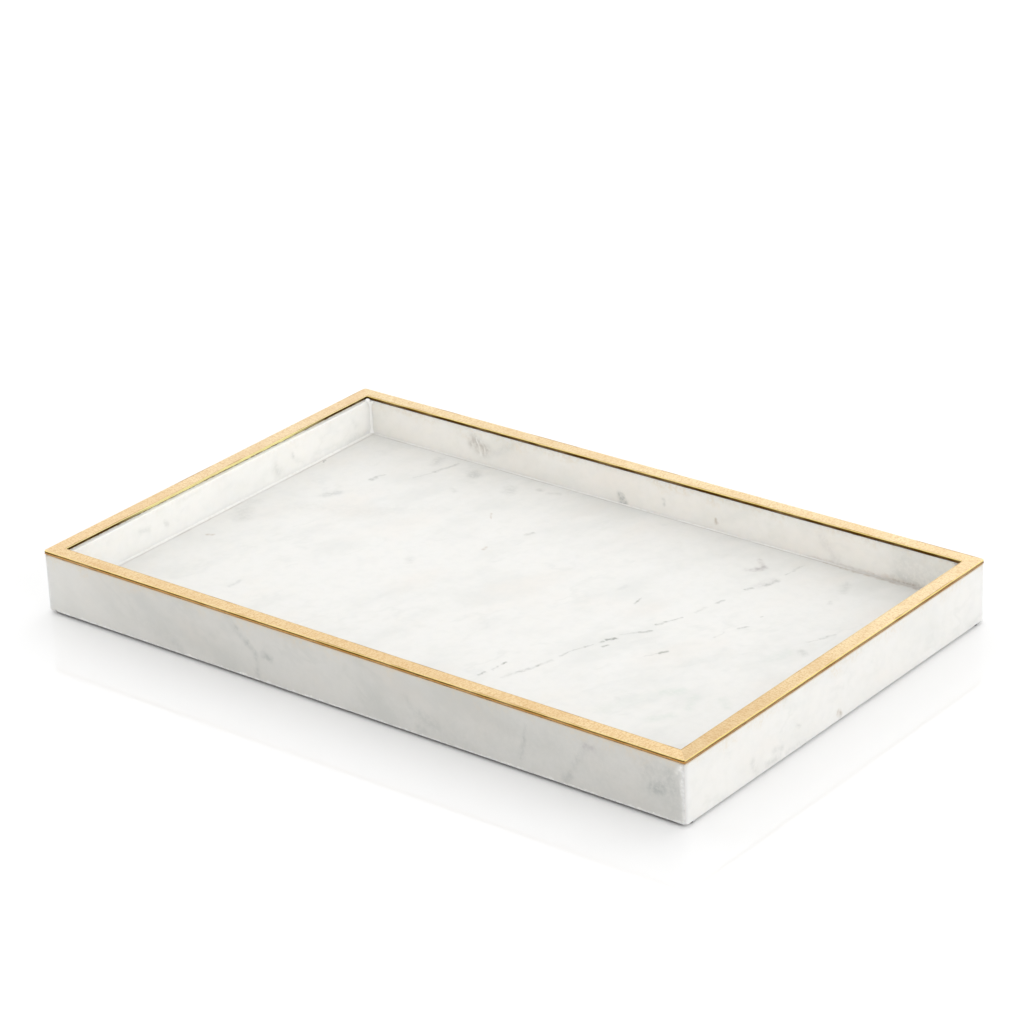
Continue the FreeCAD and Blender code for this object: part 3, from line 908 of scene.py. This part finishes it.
def make_walls(materials):
    """The four walls. Returns their rings, as the glue in a mitre fills the space between two end ones."""
    rings = {}
    for number, (side, data) in enumerate(SIDES.items()):
        section = wall_section(side, WALL_SEED + 10 * number)
        own = mitred_rings(
            data["length"], data["thick"], data["meets"], GLUE_GAP, STONE_CORNER, section, STONE_STEP
        )
        rings[side] = placed(own, side_matrix(side))
        name = f"{side}_wall_stone"
        add_piece(name, *skin(rings[side]), materials[side], f"{side}_wall", "marble")
    return rings


def make_bars(materials, solder):
    """The four bars of the rim, and the solder between the end rings of their mitres."""
    rings = {}
    for number, (side, data) in enumerate(SIDES.items()):
        section = bar_section(BAR_SEED + 10 * number)
        own = mitred_rings(
            data["length"], BAR_WIDTH, BAR_WIDTH, SOLDER_GAP, BRASS_CORNER, section, BRASS_STEP
        )
        rings[side] = placed(own, side_matrix(side))
        name = f"rim_bar_{side}_brass"
        add_piece(name, *skin(rings[side]), materials[side], f"rim_bar_{side}", "brass")
    for corner, (ends, starts) in CORNERS.items():
        sheet = skin([rings[ends][-1], rings[starts][0]])
        add_piece(f"rim_solder_{corner}_fill", *sheet, solder, f"rim_solder_{corner}", "solder")


# Glue gathers in a dab at the top and at the foot of each corner bead: its extra width, and its height.
TOP_DAB_WIDTH, TOP_DAB_HEIGHT = 1.5 * MM, 1.6 * MM
LOW_DAB_WIDTH, LOW_DAB_HEIGHT = 1.0 * MM, 1.2 * MM


def corner_bead(corner, seed):
    """The bead up an inner corner: a nearly flat fillet of uneven width, with glue gathered at both ends."""
    starts = CORNERS[corner][1]
    data = SIDES[starts]
    # In the axes of the side that starts here, the inner corner is at its low-x end.
    corner_x = -data["length"] / 2 + data["meets"]
    corner_y = data["thick"]
    bottom = SLAB_HIGH.z + 0.4 * MM
    top = WALL_TOP - 0.1 * MM
    steps = 16
    rings = []
    for step in range(steps + 1):
        height = bottom + (top - bottom) * step / steps
        top_dab = TOP_DAB_WIDTH * math.exp(-((top - height) / TOP_DAB_HEIGHT) ** 2)
        low_dab = LOW_DAB_WIDTH * math.exp(-((height - bottom) / LOW_DAB_HEIGHT) ** 2)
        width = top_dab + low_dab + (0.90 + 0.20 * rough(height, seed, 4 * MM)) * MM
        bulge = 0.62 * width
        ring = [
            (corner_x, corner_y),
            (corner_x + width, corner_y),
            (corner_x + bulge, corner_y + 0.25 * width),
            (corner_x + 0.5 * width, corner_y + 0.5 * width),
            (corner_x + 0.25 * width, corner_y + bulge),
            (corner_x, corner_y + width),
        ]
        rings.append([(x, y, height) for x, y in ring])
    return skin(placed(rings, side_matrix(starts)))


def glue_drop():
    """The drop squeezed out at the back left corner, where the end wall's top shows inside the rim."""
    radius, height = 1.5 * MM, 1.0 * MM
    centre = Vector((TRAY_LOW.x + BAR_WIDTH + radius, TRAY_HIGH.y - BAR_WIDTH - 0.8 * radius, WALL_TOP))
    rings = []
    for lift in (math.radians(degrees) for degrees in range(0, 73, 18)):
        rings.append([
            centre + Vector((
                radius * math.cos(lift) * math.cos(turn) * (1 + 0.15 * rough(turn, DROP_SEED, 1.5)),
                radius * math.cos(lift) * math.sin(turn),
                height * math.sin(lift),
            ))
            for turn in (math.radians(degrees) for degrees in range(0, 360, 30))
        ])
    return skin(rings)


def make_corner_glue(wall_rings, material):
    """The glue sheet in each wall mitre, with its bead up the inner corner."""
    for number, (corner, (ends, starts)) in enumerate(CORNERS.items()):
        sheet = skin([wall_rings[ends][-1], wall_rings[starts][0]])
        parts = merged(sheet, corner_bead(corner, CORNER_SEED + number))
        if corner == "back_left":
            parts = merged(parts, glue_drop())
        add_piece(
            f"corner_adhesive_{corner}_fill", *parts, material, f"corner_adhesive_{corner}", "adhesive"
        )


def make_slab(material):
    """The floor slab, as a bar across the tray with eased top and bottom edges."""
    ease = 0.25 * MM
    low, high = SLAB_LOW, SLAB_HIGH
    outline = []
    for centre, start in (
        ((low.y + ease, low.z + ease), 270),
        ((low.y + ease, high.z - ease), 180),
        ((high.y - ease, high.z - ease), 90),
        ((high.y - ease, low.z + ease), 0),
    ):
        outline += arc(centre, ease, start, start - 90, ARRIS_STEPS)
    rings = [[(high.x * share, y, z) for y, z in outline] for share in spread(40)]
    add_piece("base_slab_stone", *skin(rings), material, "base_slab", "marble")


# Usual width and height of a floor bead, as shares of the most that its CAD node leaves room for.
BEAD_WIDTH, BEAD_HEIGHT = 0.58, 0.50


def slab_glue_section(side, seed):
    """Outline of the glue beside the slab: a thin sheet, and a hollow bead on top of it."""
    inner = SIDES[side]["thick"]
    bead = BEADS[side]
    floor = SLAB_HIGH.z
    lip = 0.10 * MM

    def section(x):
        uneven = 1 + 0.30 * rough(x, seed, 14 * MM) + 0.15 * rough(x, seed + 1, 4 * MM)
        width = min(bead["width"], bead["width"] * BEAD_WIDTH * uneven)
        height = min(bead["height"], bead["height"] * BEAD_HEIGHT * uneven)
        outline = [(inner, SLAB_LOW.z), (inner + GLUE_GAP, SLAB_LOW.z), (inner + GLUE_GAP, floor)]
        outline += [(inner + width, floor)]
        centre = (inner + width, floor + lip + height)
        outline += arc(centre, (width, height), 270, 180, 5)
        return outline

    return section


def make_slab_glue(material):
    """The four runs of glue round the slab, mitred where they meet."""
    for number, (side, data) in enumerate(SIDES.items()):
        neighbour = "right" if side in ("front", "back") else "front"
        slope = BEADS[neighbour]["width"] / BEADS[side]["width"]
        half = data["length"] / 2 - data["meets"]
        section = slab_glue_section(side, BEAD_SEED + 10 * number)
        rings = []
        for share in spread(round(2 * half / BEAD_STEP)):
            rings.append([
                (share * (half - slope * (y - data["thick"])), y, z)
                for y, z in section(share * half)
            ])
        parts = skin(placed(rings, side_matrix(side)))
        name = f"slab_adhesive_{side}_bead"
        add_piece(name, *parts, material, f"slab_adhesive_{side}", "adhesive", smooth_angle=60)


def make_rim_glue(material):
    """The ring of glue under the brass, whose edges wander a little behind the edges of the bars."""
    low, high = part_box("rim_adhesive")
    rings = []
    for number, (side, data) in enumerate(SIDES.items()):
        reach = data["length"] / 2 - BAR_WIDTH
        own = []
        for share in spread(round(2 * reach / BRASS_STEP)):
            x = reach * share
            outer = (0.08 + 0.06 * rough(x, RIM_GLUE_SEED + number, 6 * MM)) * MM
            inner = BAR_WIDTH - (0.22 + 0.14 * rough(x, RIM_GLUE_SEED + 10 + number, 6 * MM)) * MM
            own.append([(x, outer, low.z), (x, outer, high.z), (x, inner, high.z), (x, inner, low.z)])
        outer, inner = 0.35 * MM, BAR_WIDTH - 0.22 * MM
        own.append([
            (data["length"] / 2 - y, y, z)
            for y, z in ((outer, low.z), (outer, high.z), (inner, high.z), (inner, low.z))
        ])
        rings += placed(own, side_matrix(side))
    add_piece("rim_adhesive_ring", *skin(rings, closed=True), material, "rim_adhesive", "rim_glue")


def make_foot(corner, material):
    """A rubber disc, turned from its profile: a flat base, a rounded edge and a slightly waisted side."""
    low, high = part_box(f"foot_{corner}")
    centre = (low + high) / 2
    radius = (high.x - low.x) / 2
    edge = 0.30 * MM
    profile = [(0.5 * radius, low.z)]
    profile += arc((radius - edge, low.z + edge), edge, 270, 360, 4)
    profile += [(radius - 0.06 * MM, (low.z + high.z) / 2), (radius, high.z - 0.1 * MM)]
    profile += [(radius - 0.1 * MM, high.z), (0.5 * radius, high.z)]
    rings = [[(x, y, z) for x, y in circle(centre, r, 48)] for r, z in profile]
    add_piece(f"foot_{corner}_rubber", *skin(rings), material, f"foot_{corner}", "rubber")


# ---------- Stage: floor, light and camera ----------

# Soft light from all round, as lobes of a plain sky: (direction, sharpness, strength).
SKY = {
    "even": ((0, 0, 1), 0.0, 0.378),
    "back": ((0, 1, 0), 2.0, 0.78),
    "front": ((0, -1, 0), 2.0, 1.18),
    "back_left": ((-0.63, 0.78, 0), 6.0, 0.65),
}
# Soft lamps far away: (direction towards the lamp, spread in degrees, strength).
LAMPS = {
    "top": ((0.0, 0.0, 1.0), 60, 0.36),
    "right": ((0.80, 0.10, 0.60), 50, 0.27),
    "low_right": ((0.95, 0.0, 0.30), 50, 0.96),
    "back": ((0.0, 0.75, 0.65), 50, 0.47),
    "left": ((-0.80, 0.10, 0.60), 50, 0.78),
}
FLOOR_COLOUR = (0.93, 0.93, 0.93, 1)
FLOOR_RADIUS = 8.0


def make_floor():
    """A round pale floor with a satin gloss, far larger than the view."""
    material, nodes, place = new_material("white_acrylic_floor")
    gloss = nodes.ramp(nodes.noise(place, 0.02, 2.0, 0.5), 0.3, 0.7, 0.05, 0.08)
    finish_material(nodes, Base_Color=FLOOR_COLOUR, Roughness=gloss, IOR=1.49)
    points = [(x, y, TRAY_LOW.z) for x, y in circle((0, 0), FLOOR_RADIUS, 96)]
    mesh = bpy.data.meshes.new("floor")
    mesh.from_pydata(points, [], [tuple(range(len(points)))])
    mesh.materials.append(material)
    floor = bpy.data.objects.new("floor", mesh)
    bpy.context.scene.collection.objects.link(floor)


def make_sky():
    world = bpy.data.worlds.new("studio")
    world.use_nodes = True
    bpy.context.scene.world = world
    nodes = Nodes(world.node_tree)
    direction = nodes.vector("NORMALIZE", nodes.add("ShaderNodeTexCoord").outputs["Generated"])
    total = 0.0
    for axis, sharpness, strength in SKY.values():
        facing = nodes.math("MAXIMUM", nodes.vector("DOT_PRODUCT", direction, axis), 0.0)
        lobe = nodes.math("POWER", facing, sharpness) if sharpness else 1.0
        total = nodes.math("MULTIPLY_ADD", lobe, strength, total)
    background = nodes.add("ShaderNodeBackground")
    nodes.put(background.inputs["Color"], (1, 1, 1, 1))
    nodes.put(background.inputs["Strength"], total)
    output = nodes.add("ShaderNodeOutputWorld")
    nodes.put(output.inputs["Surface"], background.outputs[0])


def make_lamps():
    for name, (towards, spread, strength) in LAMPS.items():
        lamp = bpy.data.lights.new(name, "SUN")
        lamp.angle = math.radians(spread)
        lamp.energy = strength
        holder = bpy.data.objects.new(name, lamp)
        holder.rotation_euler = Vector(towards).to_track_quat("Z", "Y").to_euler()
        bpy.context.scene.collection.objects.link(holder)


# The camera looks at a point on the plane of the rim's top, given as shares of the tray's size.
CAMERA = dict(azimuth=39.08, elevation=24.53, roll=-2.36, distance=1.8674, lens=134.7)
CAMERA_AIM = (-0.0747, 0.1640)


def make_camera():
    data = bpy.data.cameras.new("camera")
    data.lens = CAMERA["lens"]
    data.sensor_width = 36.0
    data.clip_start = 0.05
    data.clip_end = 100.0
    azimuth = math.radians(CAMERA["azimuth"])
    elevation = math.radians(CAMERA["elevation"])
    back = Vector((
        math.sin(azimuth) * math.cos(elevation),
        -math.cos(azimuth) * math.cos(elevation),
        math.sin(elevation),
    ))
    turn = back.to_track_quat("Z", "Y").to_matrix().to_4x4()
    turn = turn @ Matrix.Rotation(math.radians(CAMERA["roll"]), 4, "Z")
    aim = Vector((CAMERA_AIM[0] * TRAY.x, CAMERA_AIM[1] * TRAY.y, BAR_TOP))
    camera = bpy.data.objects.new("camera", data)
    camera.matrix_world = Matrix.Translation(aim + back * CAMERA["distance"]) @ turn
    bpy.context.scene.collection.objects.link(camera)
    bpy.context.scene.camera = camera


# ---------- Build ----------

make_camera()
make_sky()
make_lamps()
make_floor()

stone = {
    "front": marble("front", (1, 0, -0.45), 2, front_marks(), 0.75),
    "right": marble("right", (0, 1, -0.2), 3, right_marks(), 0.35),
    "back": marble("back", (1, 0, 0.3), 4, back_marks(), 0.55),
    "left": marble("left", (0, 1, 0.25), 5, left_marks(), 0.30),
}
# Both glues are pale, the corner glue palest: partly their own colour and partly painted light on the beads.
white_glue = stone_glue("white_stone_glue", (0.90, 0.89, 0.86, 1), (0.80, 0.77, 0.72, 1))
corner_glue = stone_glue("white_corner_glue", (0.96, 0.955, 0.935, 1), (0.92, 0.905, 0.875, 1))

make_slab(marble("slab", (0.36, 0.93, 0), 1, slab_marks(), 0.55))
wall_rings = make_walls(stone)
make_corner_glue(wall_rings, corner_glue)
make_slab_glue(white_glue)
make_rim_glue(rim_glue())
make_bars({side: brass(side) for side in SIDES}, ground_solder())
rubber = black_rubber()
for corner in CORNERS:
    make_foot(corner, rubber)

view = bpy.context.scene.view_settings
view.view_transform = "Standard"
view.look = "None"
